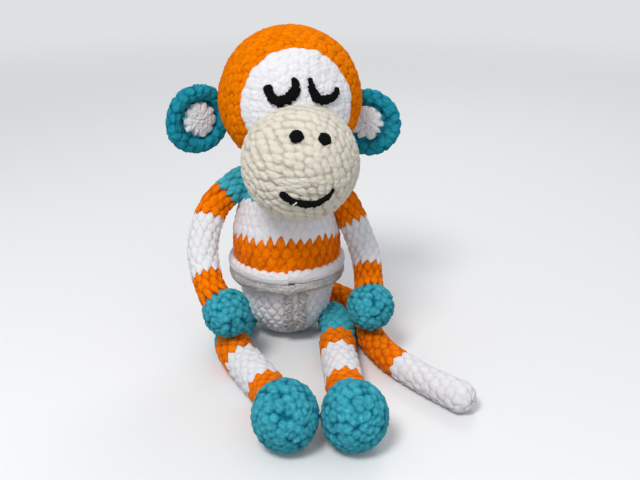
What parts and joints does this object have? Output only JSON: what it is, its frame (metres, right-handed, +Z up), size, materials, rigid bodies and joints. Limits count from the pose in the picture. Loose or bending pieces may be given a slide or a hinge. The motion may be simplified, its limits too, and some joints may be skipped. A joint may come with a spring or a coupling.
{
  "type": "amigurumi monkey",
  "caption": "Seated crocheted toy monkey with a round head, sleeping face, cupped ears, striped shirt and shorts, striped arms and legs with ball hands and feet, and a curved tail",
  "frame": {"origin": "centre of the flat of the seat, on the surface that the toy sits on", "axes": "+Z up, the toy faces -Y, and its own left hand is at +X"},
  "size_m": [0.2324, 0.2552, 0.2563],
  "materials": {
    "orange_yarn": "matte chenille",
    "white_yarn": "matte chenille",
    "teal_yarn": "matte chenille",
    "cream_yarn": "matte chenille",
    "grey_yarn": "matte chenille",
    "black_yarn": "matte chenille",
    "stuffing": "loose polyester fibre"
  },
  "bodies": {
    "torso": {"body_cover": "orange_yarn", "body_stuffing": "stuffing", "shirt_hem": "white_yarn", "waistband": "grey_yarn", "right_fly_stripe": "grey_yarn", "left_fly_stripe": "grey_yarn"},
    "neck": {"neck_seam": "orange_yarn"},
    "head": {"head_cover": "orange_yarn", "head_stuffing": "stuffing", "face_patch": "white_yarn", "muzzle_cover": "cream_yarn", "muzzle_stuffing": "stuffing", "right_eye": "black_yarn", "left_eye": "black_yarn", "right_nostril": "black_yarn", "left_nostril": "black_yarn", "mouth": "black_yarn"},
    "right_ear_body": {"right_ear": "teal_yarn", "right_ear_centre": "white_yarn"},
    "left_ear_body": {"left_ear": "teal_yarn", "left_ear_centre": "white_yarn"},
    "right_arm": {"right_arm_cover": "orange_yarn", "right_arm_stuffing": "stuffing"},
    "left_arm": {"left_arm_cover": "orange_yarn", "left_arm_stuffing": "stuffing"},
    "right_leg": {"right_leg_cover": "orange_yarn", "right_leg_stuffing": "stuffing"},
    "left_leg": {"left_leg_cover": "orange_yarn", "left_leg_stuffing": "stuffing"},
    "tail": {"tail_cover": "orange_yarn", "tail_stuffing": "stuffing"}
  },
  "joints": [
    {"name": "head_turn", "type": "hinge", "parent": "torso", "child": "neck", "pos_m": [0.0044, 0, 0.1444], "axis": [0, 0, 1], "range_deg": [-20, 20], "stiffness_Nm_per_rad": 0.15},
    {"name": "head_nod", "type": "hinge", "parent": "neck", "child": "head", "pos_m": [0.0044, 0, 0.20101], "axis": [-0.9758, -0.2074, 0.0698], "range_deg": [0, 15], "stiffness_Nm_per_rad": 0.15},
    {"name": "right_ear_fold", "type": "hinge", "parent": "head", "child": "right_ear_body", "pos_m": [-0.05113, 0.01784, 0.18129], "axis": [0.0682, 0.0145, 0.9976], "range_deg": [-30, 10], "stiffness_Nm_per_rad": 0.02},
    {"name": "left_ear_fold", "type": "hinge", "parent": "head", "child": "left_ear_body", "pos_m": [0.04471, 0.03821, 0.17444], "axis": [-0.0682, -0.0145, -0.9976], "range_deg": [-30, 10], "stiffness_Nm_per_rad": 0.02},
    {"name": "right_arm_lift", "type": "hinge", "parent": "torso", "child": "right_arm", "pos_m": [-0.0355, 0, 0.133], "axis": [0, 1, 0], "range_deg": [0, 50]},
    {"name": "left_arm_lift", "type": "hinge", "parent": "torso", "child": "left_arm", "pos_m": [0.0355, 0, 0.133], "axis": [0, -1, 0], "range_deg": [0, 50]},
    {"name": "right_leg_swing", "type": "hinge", "parent": "torso", "child": "right_leg", "pos_m": [-0.038, -0.006, 0.0125], "axis": [1, 0, 0], "range_deg": [0, 75]},
    {"name": "left_leg_swing", "type": "hinge", "parent": "torso", "child": "left_leg", "pos_m": [0.038, -0.006, 0.0125], "axis": [1, 0, 0], "range_deg": [0, 75]},
    {"name": "tail_swing", "type": "hinge", "parent": "torso", "child": "tail", "pos_m": [0.006, 0.038, 0.01], "axis": [0, 0, 1], "range_deg": [0, 90]}
  ]
}
